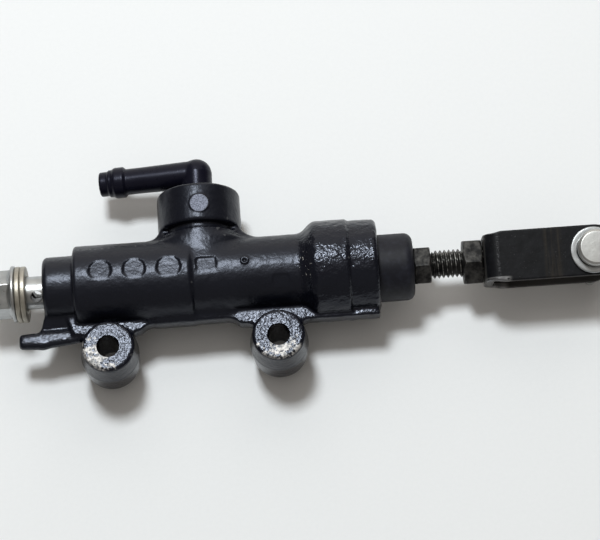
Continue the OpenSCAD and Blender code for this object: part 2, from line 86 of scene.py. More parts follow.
def rotation(degrees, axis):
    return Matrix.Rotation(math.radians(degrees), 4, axis)


BALL_X = 41.0
BALL_R = 4.75
BALL_POINT = joint_point("rod_swing")
STEP_X = BALL_POINT.x - BALL_X
AXIS_Y = BALL_POINT.y
AXIS_Z = BALL_POINT.z
BORE = shift(STEP_X, AXIS_Y, AXIS_Z)

PIN_AXIS = Vector(joints["pin_turn"]["axis"])
PIN_X = joint_point("pin_turn").x - STEP_X
CLEVIS = BORE @ Matrix.Rotation(math.atan2(-PIN_AXIS.y, PIN_AXIS.z), 4, "X")
PIN = CLEVIS @ shift(PIN_X) @ rotation(-90, "Y")

CUP_X = joint_point("inlet_swivel").x - STEP_X
TUBE_AXIS = Vector(mounts["inlet_barb"]["axis"])
ELBOW = BORE @ shift(CUP_X) @ Matrix.Rotation(math.atan2(TUBE_AXIS.z, -TUBE_AXIS.x), 4, "Y")


# ---- camera, light and floor ----------------

CAMERA_TILT = math.radians(20)    # from straight above, towards the mounting bosses
CAMERA_ROLL = math.radians(4.03)  # the cylinder climbs this much to the right
CAMERA_DISTANCE = 0.72
VIEW_WIDTH = 0.168                # width of the view at the bore axis
VIEW_CENTRE = BORE @ Vector((31.2, 1.25, 0)) * MM
FLOOR_Z = cad_box[0][2]


def new_object(name, data):
    thing = bpy.data.objects.new(name, data)
    bpy.context.scene.collection.objects.link(thing)
    return thing


def make_camera():
    data = bpy.data.cameras.new("camera")
    data.sensor_width = 36
    data.lens = data.sensor_width * CAMERA_DISTANCE / VIEW_WIDTH
    data.clip_start = 0.01
    data.clip_end = 20
    camera = new_object("camera", data)
    back = Vector((0, -math.sin(CAMERA_TILT), math.cos(CAMERA_TILT)))
    level_up = Vector((0, math.cos(CAMERA_TILT), math.sin(CAMERA_TILT)))
    along = Vector((1, 0, 0))
    right = math.cos(CAMERA_ROLL) * along - math.sin(CAMERA_ROLL) * level_up
    up = math.sin(CAMERA_ROLL) * along + math.cos(CAMERA_ROLL) * level_up
    turn = Matrix((right, up, back)).transposed().to_4x4()
    camera.matrix_world = Matrix.Translation(VIEW_CENTRE + back * CAMERA_DISTANCE) @ turn
    bpy.context.scene.camera = camera


def area_light(name, direction, distance, size, watts, colour):
    data = bpy.data.lights.new(name, "AREA")
    data.shape = "RECTANGLE"
    data.size = data.size_y = size
    data.energy = watts
    data.color = colour
    light = new_object(name, data)
    aim = Vector(direction).normalized()
    light.location = VIEW_CENTRE + aim * distance
    light.rotation_euler = (-aim).to_track_quat("-Z", "Y").to_euler()


def make_studio():
    scene = bpy.context.scene
    scene.view_settings.view_transform = "Standard"
    world = bpy.data.worlds.new("world")
    scene.world = world
    world.use_nodes = True
    background = world.node_tree.nodes["Background"]
    background.inputs["Color"].default_value = (1.0, 0.93, 0.85, 1)
    background.inputs["Strength"].default_value = 0.17
    area_light("key", (-0.12, 0.32, 0.94), 0.9, 0.17, 6.2, (0.93, 0.98, 1.0))
    area_light("overhead", (-0.05, 0.0, 1.0), 2.0, 1.3, 2.8, (1.0, 0.95, 0.88))
    area_light("fill", (0.1, 0.85, 0.50), 1.6, 1.8, 10.0, (1.0, 0.96, 0.90))
    area_light("front", (0.05, -0.75, 0.66), 2.0, 2.4, 2.8, (1.0, 0.96, 0.90))

    mesh = bpy.data.meshes.new("floor")
    half = 3.0
    mesh.from_pydata([(-half, -half, FLOOR_Z), (half, -half, FLOOR_Z),
                      (half, half, FLOOR_Z), (-half, half, FLOOR_Z)], [], [(0, 1, 2, 3)])
    floor = new_object("floor", mesh)
    shade = Shader("floor_paint")
    grain = shade.noise(scale=900, detail=2)
    shade.set("Base Color", shade.mix_colour(grain, (0.80, 0.81, 0.82), (0.83, 0.84, 0.85)))
    shade.set("Roughness", 0.75)
    floor.data.materials.append(shade.material)


# ---- procedural materials -------------------

class Shader:
    """A Principled material and short calls that add its nodes. Coordinates are the row frame's,
    at rest, in metres."""

    def __init__(self, name):
        self.material = bpy.data.materials.new(name)
        self.material.use_nodes = True
        self.tree = self.material.node_tree
        self.principled = self.tree.nodes["Principled BSDF"]
        self.position = self.node("TexCoord").outputs["Object"]

    def feed(self, socket, value):
        if isinstance(value, bpy.types.NodeSocket):
            self.tree.links.new(value, socket)
        elif isinstance(value, (tuple, list)) and len(value) == 3 and socket.type == "RGBA":
            socket.default_value = (*value, 1)
        else:
            socket.default_value = value

    def set(self, name, value):
        self.feed(self.principled.inputs[name], value)

    def node(self, kind, *values):
        """A new node, its first inputs fed with the values."""
        node = self.tree.nodes.new("ShaderNode" + kind)
        for socket, value in zip(node.inputs, values):
            self.feed(socket, value)
        return node

    def math(self, kind, a, b=0.0):
        node = self.node("Math", a, b)
        node.operation = kind
        return node.outputs[0]

    def add(self, a, b):
        return self.math("ADD", a, b)

    def times(self, a, b):
        return self.math("MULTIPLY", a, b)

    def most(self, a, b):
        return self.math("MAXIMUM", a, b)

    def ramp(self, value, low, high, out_low=0.0, out_high=1.0):
        """A smooth step from out_low at low to out_high at high."""
        node = self.node("MapRange", value, low, high, out_low, out_high)
        node.interpolation_type = "SMOOTHSTEP"
        return node.outputs[0]

    def mix_colour(self, share, a, b):
        node = self.node("Mix", share)
        node.data_type = "RGBA"
        self.feed(node.inputs[6], a)
        self.feed(node.inputs[7], b)
        return node.outputs[2]

    def mix_value(self, share, a, b):
        node = self.node("Mix", share)
        self.feed(node.inputs[2], a)
        self.feed(node.inputs[3], b)
        return node.outputs[0]

    def vector_math(self, kind, a, b=(0, 0, 0)):
        node = self.node("VectorMath", a, b)
        node.operation = kind
        return node.outputs

    def from_point(self, point):
        """Position less a point, both in metres."""
        return self.vector_math("SUBTRACT", self.position, point)["Vector"]

    def length(self, vector):
        return self.vector_math("LENGTH", vector)["Value"]

    def dot(self, vector, direction):
        return self.vector_math("DOT_PRODUCT", vector, direction)["Value"]

    def scaled(self, vector, factors):
        return self.vector_math("MULTIPLY", vector, factors)["Vector"]

    def noise(self, scale, detail=3.0, rough=0.55, vector=None):
        node = self.node("TexNoise", self.position if vector is None else vector)
        node.inputs["Scale"].default_value = scale
        node.inputs["Detail"].default_value = detail
        node.inputs["Roughness"].default_value = rough
        return node.outputs["Fac"]

    def edges(self, low, high):
        """1 on outside edges of a dense mesh, 0 elsewhere."""
        return self.ramp(self.node("NewGeometry").outputs["Pointiness"], low, high)

    def axis(self, index):
        return self.node("SeparateXYZ", self.position).outputs[index]

    def bump(self, height, depth_m, before=None):
        """Bump from a height of 0 to 1, depth_m deep."""
        node = self.node("Bump", 1.0, depth_m)
        self.feed(node.inputs["Height"], height)
        if before is not None:
            self.feed(node.inputs["Normal"], before)
        return node.outputs[0]

    def grain(self, *layers):
        """Bump from noise layers of (scale, detail, depth in millimetres), the coarsest first."""
        normal = None
        for scale, detail, depth in layers:
            normal = self.bump(self.noise(scale, detail), depth * MM, normal)
        self.set("Normal", normal)


def cast_paint():
    """Semi-gloss black paint over rough cast aluminium, worn through on the bosses' faces."""
    s = Shader("cast_paint")
    lumps = s.noise(430, 1.5, 0.5)
    peel = s.noise(1600, 1.3, 0.5)
    pepper = s.noise(3600, 2, 0.6)
    blotch = s.noise(90, 3, 0.6)
    rag = s.noise(620, 5, 0.65)

    # bare patches on the bosses' front faces, each on one side of the hole
    front = AXIS_Z + BOSS_FRONT
    on_front = s.ramp(s.axis(2), (front - 0.5) * MM, (front - 0.15) * MM)
    bare = None
    for x, angle in ((BOSSES[0], 222), (BOSSES[1], 275)):
        here = s.from_point(((x + STEP_X) * MM, 0, front * MM))
        toward = (math.cos(math.radians(angle)), math.sin(math.radians(angle)), 0)
        lean = s.math("DIVIDE", s.dot(here, toward), s.length(here))
        close = s.ramp(s.length(here), 9 * MM, 7 * MM)
        worn = s.times(s.ramp(s.add(s.times(lean, 0.24), rag), 0.64, 0.73), close)
        bare = worn if bare is None else s.most(bare, worn)
    bare = s.times(s.times(bare, on_front), s.ramp(peel, 0.32, 0.42))

    # chips along the outside edges, and scuffs on the collar's shoulder
    chips = s.times(s.edges(0.56, 0.60), s.ramp(s.noise(1300, 4, 0.6), 0.62, 0.66))
    shoulder = s.scaled(s.from_point(BORE @ Vector((32.9, -1.5, 11.8)) * MM), (2.2, 1, 1))
    scuffs = s.times(s.ramp(s.length(shoulder), 5 * MM, 2.5 * MM),
                     s.ramp(s.noise(1300, 4, 0.6), 0.62, 0.65))
    bare = s.most(bare, s.most(chips, scuffs))

    # turned pad on the inlet cup
    pad = s.from_point(BORE @ Vector((DISC_X, DISC_Y, CUP_R)) * MM)
    across = s.length(s.scaled(pad, (1, 1, 0)))
    on_pad = s.times(s.ramp(across, 2.65 * MM, 2.45 * MM),
                     s.ramp(s.axis(2), (AXIS_Z + CUP_R - 0.15) * MM, (AXIS_Z + CUP_R) * MM))

    black = s.mix_colour(blotch, (0.002, 0.0025, 0.005), (0.0045, 0.005, 0.009))
    black = s.mix_colour(s.ramp(pepper, 0.58, 0.76, 0.0, 0.2), black, (0.04, 0.04, 0.045))
    rim = s.ramp(s.edges(0.55, 0.62), 0, 1, 0.0, 0.6)
    black = s.mix_colour(rim, black, (0.07, 0.07, 0.072))
    cut = s.mix_colour(s.ramp(pepper, 0.38, 0.62), (0.10, 0.11, 0.14), (0.26, 0.28, 0.36))
    black = s.mix_colour(on_pad, black, cut)
    metal = s.mix_colour(s.ramp(s.noise(1300, 3), 0.35, 0.62),
                         (0.16, 0.16, 0.16), (0.52, 0.50, 0.48))
    s.set("Base Color", s.mix_colour(bare, black, metal))
    s.set("Metallic", bare)
    # the skin is coarse on the webs, the bosses and the collar, and finer on the barrel
    coarse = s.most(s.ramp(s.axis(1), 9.5 * MM, 8 * MM), s.ramp(s.axis(0), 28 * MM, 32 * MM))
    gloss = s.mix_value(s.noise(260, 4, 0.65), s.mix_value(coarse, 0.29, 0.16),
                        s.mix_value(coarse, 0.36, 0.28))
    gloss = s.mix_value(on_pad, gloss, 0.6)
    s.set("Roughness", s.mix_value(bare, gloss, 0.6))
    s.set("Specular IOR Level", 0.34)
    s.set("Specular Tint", (0.80, 0.85, 1.0))
    strength = s.mix_value(on_pad, s.mix_value(coarse, 0.45, 1.25), 1.5)
    low = s.bump(s.mix_value(on_pad, lumps, 0.5), 0.00012)
    mid = s.bump(s.times(s.add(peel, -0.5), strength), 0.00010, low)
    s.set("Normal", s.bump(s.mix_value(bare, pepper, rag), 0.00001, mid))
    return s.material


def zinc(name, dark, pale, rough=(0.20, 0.42), hole=None):
    """Bright zinc plate with soft mottling and handling marks. A hole's inside is painted near
    black, as painted shade:
    the hole gives its middle, direction, radius and half length, in millimetres."""
    s = Shader(name)
    mottle = s.noise(380, 4, 0.6)
    colour = s.mix_colour(mottle, dark, pale)
    if hole is not None:
        middle, direction, radius, half = hole
        here = s.from_point(middle * MM)
        along = s.dot(here, direction)
        across = s.math("SQRT", s.math("SUBTRACT", s.times(s.length(here), s.length(here)),
                                       s.times(along, along)))
        # painted shade: the walls of the drilled hole are painted near black
        hole_shade = s.times(s.ramp(across, (radius + 0.12) * MM, radius * MM),
                         s.ramp(s.math("ABSOLUTE", along), half * MM, (half - 0.3) * MM))
        colour = s.mix_colour(hole_shade, colour, (0.012, 0.011, 0.010))
    s.set("Base Color", colour)
    s.set("Metallic", 1.0)
    s.set("Roughness", s.mix_value(s.noise(900, 4, 0.65), *rough))
    s.grain((700, 3, 0.04), (4000, 2, 0.012))
    return s.material


def tarnished():
    """Soft crush washers: dull warm metal with stains."""
    s = Shader("tarnished_washer")
    stain = s.noise(500, 5, 0.65)
    s.set("Base Color", s.mix_colour(stain, (0.20, 0.18, 0.145), (0.52, 0.49, 0.43)))
    s.set("Metallic", 0.9)
    s.set("Roughness", s.mix_value(s.noise(1200, 3), 0.32, 0.55))
    s.grain((2200, 3, 0.04))
    return s.material


def moulded():
    """Satin black moulded plastic."""
    s = Shader("moulded_plastic")
    s.set("Base Color", s.mix_colour(s.noise(200, 4), (0.003, 0.003, 0.007), (0.006, 0.006, 0.012)))
    s.set("Roughness", s.mix_value(s.noise(700, 4), 0.22, 0.36))
    s.set("Specular IOR Level", 0.19)
    s.set("Specular Tint", (0.78, 0.80, 1.0))
    s.grain((330, 2, 0.05), (2600, 3, 0.014))
    return s.material


def rubber(name, dark, pale, rough):
    """Matt rubber with dust in patches."""
    s = Shader(name)
    dust = s.ramp(s.noise(520, 5, 0.65), 0.42, 0.75)
    s.set("Base Color", s.mix_colour(dust, dark, pale))
    s.set("Roughness", s.mix_value(s.noise(800, 3), *rough))
    s.set("Specular IOR Level", 0.25)
    s.grain((3000, 3, 0.02))
    return s.material


def blackened(name, dark, pale, bright, rough=(0.34, 0.58)):
    """Blackened steel, stained by handling and brighter on its edges."""
    s = Shader(name)
    stain = s.ramp(s.noise(450, 5, 0.65), 0.35, 0.7)
    base = s.mix_colour(stain, dark, pale)
    wear = s.times(s.edges(0.52, 0.57), s.ramp(s.noise(1400, 4), 0.40, 0.62))
    s.set("Base Color", s.mix_colour(wear, base, bright))
    s.set("Metallic", 0.8)
    s.set("Roughness", s.mix_value(s.noise(900, 4), *rough))
    s.grain((800, 4, 0.05), (3600, 2, 0.015))
    return s.material


def clevis_plating():
    """Satin black plating: chipped and worn by the bend, with faint brown bands of painted sheen
    near the pin.
    A thin lighter line along the edges is a painted highlight, specks along the bend are partly
    wear and partly painted highlight, and the ears' inner faces are painted lighter as bounce
    light.
    """
    s = Shader("clevis_plating")
    here = s.from_point(CLEVIS @ Vector((CLEVIS_X0, 0, 0)) * MM)
    along = s.dot(here, (1, 0, 0))
    across = s.dot(here, CLEVIS.col[1].xyz)
    near_bend = s.ramp(along, 5.5 * MM, 2.5 * MM)
    low_edge = s.ramp(across, -5.6 * MM, -6.0 * MM)
    depth = s.math("ABSOLUTE", s.dot(here, CLEVIS.col[2].xyz))

    base = s.mix_colour(s.ramp(s.noise(300, 5, 0.65), 0.35, 0.7),
                        (0.0035, 0.0038, 0.005), (0.0075, 0.008, 0.010))
    # painted sheen: faint brown streaked bands near the pin stand in for a reflection
    sheen_streaks = s.noise(1100, 3, 0.6, s.scaled(here, (1, 0.06, 0.06)))
    painted_sheen_bands = s.times(s.ramp(along, (PIN_X - 97) * MM, (PIN_X - 95.5) * MM),
                       s.ramp(along, (PIN_X - 91) * MM, (PIN_X - 92.5) * MM))
    base = s.mix_colour(s.times(s.ramp(sheen_streaks, 0.36, 0.66, 0.0, 0.8), painted_sheen_bands),
                        base, (0.022, 0.018, 0.014))
    base = s.mix_colour(s.ramp(s.noise(2300, 2), 0.70, 0.74, 0.0, 0.6), base, (0.10, 0.10, 0.105))
    # worn specks and painted highlight: light grey specks along a line on the bend
    off_line = s.math("ABSOLUTE", s.add(along, -3.8 * MM))
    bend_wear_and_glints = s.times(s.ramp(off_line, 0.5 * MM, 0.2 * MM), s.ramp(s.noise(2600, 2), 0.50, 0.60))
    base = s.mix_colour(bend_wear_and_glints, base, (0.05, 0.05, 0.055))
    # painted bounce light: the ears' inner faces, shaded between the ears, are painted lighter grey
    base = s.mix_colour(s.ramp(depth, 6.3 * MM, 6.0 * MM), base, (0.035, 0.034, 0.033))

    chips = s.times(s.edges(0.53, 0.56), s.ramp(s.noise(1400, 4), 0.46, 0.54))
    chips = s.times(chips, s.ramp(near_bend, 0, 1, 0.12, 1.0))
    wedge = s.times(s.times(s.ramp(along, 7.5 * MM, 4.5 * MM), low_edge),
                    s.ramp(s.noise(700, 4), 0.36, 0.46))
    # painted highlight: a thin, even, lighter line along all edges; wear below holds it together
    # with the real chips and the worn wedge
    line = s.ramp(s.edges(0.54, 0.60), 0, 1, 0.0, 0.16)
    wear = s.most(s.most(chips, wedge), line)
    worn = s.mix_colour(wedge, (0.46, 0.45, 0.44), (0.14, 0.14, 0.145))
    s.set("Base Color", s.mix_colour(wear, base, worn))
    s.set("Metallic", s.times(wear, 0.9))
    s.set("Roughness", s.mix_value(s.noise(900, 4), 0.30, 0.46))
    s.set("Specular IOR Level", 0.15)
    s.grain((800, 4, 0.05), (3600, 2, 0.015))
    return s.material


def plain_metal(name, dark, pale, rough=(0.3, 0.5)):
    s = Shader(name)
    s.set("Base Color", s.mix_colour(s.noise(600, 4), dark, pale))
    s.set("Metallic", 1.0)
    s.set("Roughness", s.mix_value(s.noise(1100, 3), *rough))
    s.grain((2600, 3, 0.02))
    return s.material


# ---- mesh helpers ---------------------------

def new_piece(name, verts, faces, material, at=BORE, smooth_angle=35):
    """An object from millimetre vertices in the bore frame, or in the frame that at gives."""
    mesh = bpy.data.meshes.new(name)
    mesh.from_pydata([tuple(v) for v in verts], [], [tuple(f) for f in faces])
    mesh.transform(Matrix.Scale(MM, 4) @ at)
    piece = new_object(name, mesh)
    finish_mesh(mesh, smooth_angle)
    if material is not None:
        mesh.materials.append(material)
    return piece


def finish_mesh(mesh, smooth_angle):
    """Outward normals, no doubled points, and smooth shading with sharp corners."""
    bm = bmesh.new()
    bm.from_mesh(mesh)
    bmesh.ops.remove_doubles(bm, verts=bm.verts, dist=1e-7)
    bmesh.ops.dissolve_degenerate(bm, dist=1e-8, edges=bm.edges)
    bmesh.ops.recalc_face_normals(bm, faces=bm.faces)
    bm.to_mesh(mesh)
    bm.free()
    mesh.polygons.foreach_set("use_smooth", [True] * len(mesh.polygons))
    mesh.set_sharp_from_angle(angle=math.radians(smooth_angle))


def combine(piece, tool, operation="DIFFERENCE", smooth_angle=35):
    """Boolean of two closed pieces, applied at once. The tool is used up."""
    materials = list(piece.data.materials)
    change = piece.modifiers.new("combine", "BOOLEAN")
    change.operation = operation
    change.solver = "MANIFOLD"
    change.object = tool
    bpy.context.view_layer.update()
    shown = piece.evaluated_get(bpy.context.evaluated_depsgraph_get())
    mesh = bpy.data.meshes.new_from_object(shown)
    piece.modifiers.clear()
    piece.data = mesh
    mesh.materials.clear()
    for material in materials:
        mesh.materials.append(material)
    mesh.polygons.foreach_set("material_index", [0] * len(mesh.polygons))
    finish_mesh(mesh, smooth_angle)
    bpy.data.objects.remove(tool)
    return piece


def rounded(points, radii, closed=False, steps=4):
    """An outline with its corners rounded: points are (a, b), and radii one number or one each.
    An open outline keeps its first and last points."""
    if not isinstance(radii, (list, tuple)):
        radii = [radii] * len(points)
    out = []
    n = len(points)
    for i, (point, radius) in enumerate(zip(points, radii)):
        p = Vector(point)
        if radius <= 0 or (not closed and i in (0, n - 1)):
            out.append(tuple(p))
            continue
        u, v = Vector(points[i - 1]) - p, Vector(points[(i + 1) % n]) - p
        room = min(u.length, v.length) * 0.49
        u.normalize()
        v.normalize()
        half = math.acos(max(-1, min(1, u.dot(v)))) / 2
        if half > math.pi / 2 - 0.02:
            out.append(tuple(p))
            continue
        run = min(radius / math.tan(half), room)
        centre = p + (u + v).normalized() * (run / math.cos(half))
        start, end = p + u * run - centre, p + v * run - centre
        angle = start.angle(end)
        for k in range(steps + 1):
            a = angle * k / steps
            out.append(tuple(centre
                             + (math.sin(angle - a) * start + math.sin(a) * end) / math.sin(angle)))
    return out


def bridge(a, b):
    """Faces between two rings of vertex numbers, either of which may be one point."""
    faces = []
    n = max(len(a), len(b))
    for k in range(n):
        m = (k + 1) % n
        if len(a) == 1:
            faces.append((a[0], b[k], b[m]))
        elif len(b) == 1:
            faces.append((a[k], a[m], b[0]))
        else:
            faces.append((a[k], a[m], b[m], b[k]))
    return faces


def bridged(rings):
    """Faces along a row of rings."""
    return [face for a, b in zip(rings, rings[1:]) for face in bridge(a, b)]


def circle(count):
    """Cosine and sine at even steps of a full turn."""
    angles = [2 * math.pi * k / count for k in range(count)]
    return [(math.cos(a), math.sin(a)) for a in angles]


def turned(name, points, material=None, sides=96, at=BORE, smooth_angle=35):
    """A solid of revolution about X from an outline of (x, r)."""
    verts, rings = [], []
    for x, r in points:
        around = [(0, 0)] if r < 1e-6 else circle(sides)
        rings.append(list(range(len(verts), len(verts) + len(around))))
        verts += [(x, r * c, r * s) for c, s in around]
    faces = bridged(rings)
    if len(rings[0]) > 1:
        faces += bridge(rings[-1], rings[0])
    return new_piece(name, verts, faces, material, at, smooth_angle)


def cut(piece, outline, at=BORE, sides=96, smooth_angle=35):
    """Take a turned shape out of a piece."""
    combine(piece, turned("tool", outline, sides=sides, at=at), smooth_angle=smooth_angle)


def ring(name, x0, x1, r_out, r_in, material, edge, at=BORE):
    """A flat ring with softened edges."""
    outline = rounded([(x0, r_in), (x0, r_out), (x1, r_out), (x1, r_in)], edge, closed=True)
    return turned(name, outline, material, at=at)


def swept(name, path, radius, material, sides=14, at=BORE):
    """A round wire along a path, with flat ends."""
    path = [Vector(p) for p in path]
    verts, rings = [], []
    normal = None
    for i, p in enumerate(path):
        tangent = (path[min(i + 1, len(path) - 1)] - path[max(i - 1, 0)]).normalized()
        if normal is None:
            normal = tangent.orthogonal()
        normal = (normal - tangent * normal.dot(tangent)).normalized()
        side = tangent.cross(normal)
        rings.append(list(range(len(verts), len(verts) + sides)))
        verts += [p + radius * (c * normal + s * side) for c, s in circle(sides)]
    faces = bridged(rings)
    for p, end in ((path[0], rings[0]), (path[-1], rings[-1])):
        faces += bridge([len(verts)], end)
        verts.append(p)
    return new_piece(name, verts, faces, material, at, 50)


PITCH = 1.25       # of the outlet bolt's thread and the adjuster's
THREAD_R = 4.0     # of the adjuster's thread, in its nuts


def threaded(x0, x1, major, lead=0.9):
    """A threaded rod about X, its crests and roots flattened, with a lead chamfer at both ends."""
    sides = 72
    minor = major - 0.61 * PITCH
    soft = 0.05 * PITCH
    profile = ((0.00, major), (0.09, major), (0.13, major - soft), (0.45, minor + soft),
               (0.50, minor), (0.60, minor), (0.65, minor + soft), (0.96, major - soft))
    rows_per_turn = len(profile)
    rows = (int((x1 - x0) / PITCH) + 4) * rows_per_turn
    start = x0 - 2 * PITCH
    verts = []
    for i in range(rows + 1):
        share, r = profile[i % rows_per_turn]
        for k, (c, s) in enumerate(circle(sides)):
            x = start + PITCH * (i // rows_per_turn + share + k / sides)
            verts.append((x, r * c, r * s))
    faces = []
    for i in range(rows):
        for k in range(sides - 1):
            a = i * sides + k
            faces.append((a, a + 1, a + sides + 1, a + sides))
        if i + rows_per_turn + 1 <= rows:
            a, b = i * sides + sides - 1, (i + rows_per_turn) * sides
            faces.append((a, b, b + sides, a + sides))
    # the open ends are closed to a point each, outside the envelope
    low = list(range(sides)) + [k * sides for k in range(rows_per_turn, 0, -1)]
    last = rows * sides
    high = list(range(last, last + sides))
    high = [(rows - k) * sides + sides - 1 for k in range(rows_per_turn, 0, -1)] + high[::-1]
    high = high[:rows_per_turn] + [last + sides - 1] + high[rows_per_turn + 1:]
    for loop, x in ((low, start - 2 * PITCH), (high, x1 + 6 * PITCH)):
        faces += bridge([len(verts)], loop)
        verts.append((x, 0, 0))
    rod = new_piece("tool", verts, faces, None, smooth_angle=40)
    envelope = turned("envelope", [(x0, 0), (x0, minor - 0.15), (x0 + lead, major + 0.1),
                                   (x1 - lead, major + 0.1), (x1, minor - 0.15), (x1, 0)])
    return combine(rod, envelope, "INTERSECT", 40)


def settle(piece, node):
    """The piece stands for its CAD node: it takes its body."""
    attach(piece, body_of[node])
    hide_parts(node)
    return piece


# ---- shapes from distance fields ------------

def smooth_min(a, b, k):
    h = np.clip(0.5 + 0.5 * (b - a) / k, 0, 1)
    return b + (a - b) * h - k * h * (1 - h)


def smooth_max(a, b, k):
    return -smooth_min(-a, -b, k)


def both(a, b, edge):
    """Overlap of two shapes, with the edge between them rounded."""
    a = a + edge
    b = b + edge
    return np.minimum(np.maximum(a, b), 0) \
        + np.sqrt(np.maximum(a, 0) ** 2 + np.maximum(b, 0) ** 2) - edge


def step(x, low, high):
    t = np.clip((x - low) / (high - low), 0, 1)
    return t * t * (3 - 2 * t)


def radius_of(a, b):
    return np.sqrt(a * a + b * b)


def rod_field(rho, along, radius, low, high, edge):
    """Distance to a cylinder with rounded rims: rho from its axis, along it from low to high."""
    return both(rho - radius, np.maximum(low - along, along - high), edge)


def capsule_field(x, y, z, a, b, ra, rb):
    """Distance to a tapered rod with round ends between two points."""
    a, b = np.array(a, float), np.array(b, float)
    d = b - a
    t = ((x - a[0]) * d[0] + (y - a[1]) * d[1] + (z - a[2]) * d[2]) / d.dot(d)
    t = np.clip(t, 0, 1)
    return np.sqrt((x - a[0] - t * d[0]) ** 2 + (y - a[1] - t * d[1]) ** 2
                   + (z - a[2] - t * d[2]) ** 2) - (ra + (rb - ra) * t)


def hex_field(y, z, across_flats, turn_degrees):
    """Distance to a hexagon with slightly rounded corners in the YZ plane."""
    field = None
    for k in range(3):
        a = math.radians(turn_degrees + 30 + 60 * k)
        side = np.abs(y * math.cos(a) + z * math.sin(a)) - across_flats / 2
        field = side if field is None else smooth_max(field, side, 0.25)
    return field


def nut_field(x, y, z, x0, x1, across_flats, turn_degrees, chamfer_x0=True, chamfer_x1=True):
    """A hexagon along X with its corners turned off at 30 degrees."""
    body = both(hex_field(y, z, across_flats, turn_degrees), np.maximum(x0 - x, x - x1), 0.15)
    rho = radius_of(y, z)
    flat_r = across_flats / 2 * 0.97
    s, c = math.sin(math.radians(30)), math.cos(math.radians(30))
    if chamfer_x0:
        body = smooth_max(body, (rho - flat_r) * s - (x - x0) * c, 0.12)
    if chamfer_x1:
        body = smooth_max(body, (rho - flat_r) * s - (x1 - x) * c, 0.12)
    return body


def drilled(body, rho, radius, along, mouths):
    """A hole through a shape, with chamfered mouths at the given stations."""
    body = smooth_max(body, radius - rho, 0.12)
    for mouth in mouths:
        body = smooth_max(body, radius + 0.45 - np.abs(along - mouth) - rho, 0.1)
    return body


def mesh_of_field(field, low, high, voxel):
    """Vertices and quads of the surface where field(x, y, z) is 0."""
    axes = [np.arange(a, b + voxel, voxel, dtype=np.float32) for a, b in zip(low, high)]
    x = axes[0][:, None, None]
    y = axes[1][None, :, None]
    z = axes[2][None, None, :]
    values = np.broadcast_to(field(x, y, z), [len(a) for a in axes])
    grid = openvdb.FloatGrid(3 * voxel)
    grid.copyFromArray(np.ascontiguousarray(np.clip(values, -3 * voxel, 3 * voxel), np.float32))
    points, quads = grid.convertToQuads(0.0)
    return points * voxel + np.array([a[0] for a in axes]), quads[:, ::-1]


def sculpted(name, field, low, high, voxel, material, at=BORE):
    """A piece from a distance field, drawn between two corners of a box."""
    points, quads = mesh_of_field(field, low, high, voxel)
    return new_piece(name, points, quads, material, at, 60)


# ---- casting --------------------------------

PORT_FACE = -40.4
BARREL_X = -31.7
COLLAR_X = 35.3
COLLAR_MID = 44.9
COLLAR_END = 53.0
BARREL_LEFT_R = 11.6
BARREL_RIGHT_R = 10.7
CUP_R = 11.6
CUP_BASE = 14.2
CUP_TOP = 25.2
HOLES = mounts["mounting_holes"]["dims"]
HALF_SPACING = HOLES["spacing_x_mm"] / 2
BOSSES = (-HALF_SPACING - STEP_X, HALF_SPACING - STEP_X)
BOSS_HOLE_R = HOLES["hole_r_mm"]
BOSS_FRONT = 7.5
BORE_R = 7.0
DISC_X = CUP_X + 0.7
DISC_Y = 19.0


def barrel_field(x, y, z):
    """The turned part of the casting: port boss, barrel in two diameters, cone and collar."""
    def rho(dy):
        return radius_of(y - dy, z)
    field = rod_field(rho(0.5), x, 9.1, PORT_FACE, BARREL_X + 2, 1.4)
    field = smooth_min(field, rod_field(rho(0.5), x, BARREL_LEFT_R, BARREL_X, 1.2, 1.0), 0.7)
    field = smooth_min(field, rod_field(rho(0.6), x, BARREL_RIGHT_R, -2, COLLAR_X, 0.5), 0.9)
    slope = math.radians(43)
    cone = (rho(0.75) - 13.8 - (x - COLLAR_X) * math.tan(slope)) * math.cos(slope)
    collar = smooth_max(rod_field(rho(0.8), x, 13.7, 29, COLLAR_MID, 0.7), cone, 1.0)
    field = smooth_min(field, collar, 1.2)
    return smooth_min(field, rod_field(rho(0.95), x, 13.0, COLLAR_MID - 2, COLLAR_END, 1.3), 0.5)


def boss_field(x, y, z, centre):
    """One mounting boss: two drafts that meet at the parting plane."""
    rho = radius_of(x - centre, y + AXIS_Y)
    draft = np.where(z > 0, 8.0 - 0.8 * z / BOSS_FRONT, 8.0 + 0.4 * z / AXIS_Z)
    return rod_field(rho - draft, z, 0.0, -AXIS_Z, BOSS_FRONT, 0.8)


def web_field(x, y, z):
    """Flat webs at the parting plane, from the bosses to the barrel and along to the collar."""
    near = np.minimum(*[radius_of(x - b, y + AXIS_Y) - 7.3 for b in BOSSES])
    flat = smooth_min(-13.9 - y, near, 4.0)
    # hollow between the bosses
    r = 5.0
    dx = np.abs(x + 0.1) - (14.9 - r)
    dy = y + 12.1 + r
    hollow = np.minimum(np.maximum(dx, dy), 0) + radius_of(np.maximum(dx, 0), np.maximum(dy, 0)) - r
    flat = smooth_max(flat, -hollow, 0.6)
    # slanted left edge, and the collar's end
    flat = smooth_max(flat, -(x + 35.0) * 0.955 - (y + 6.9) * 0.295, 0.8)
    flat = np.maximum(np.maximum(flat, x - COLLAR_END + 0.5), y)
    return both(flat, np.abs(z + 0.2) - 2.35, 0.5)


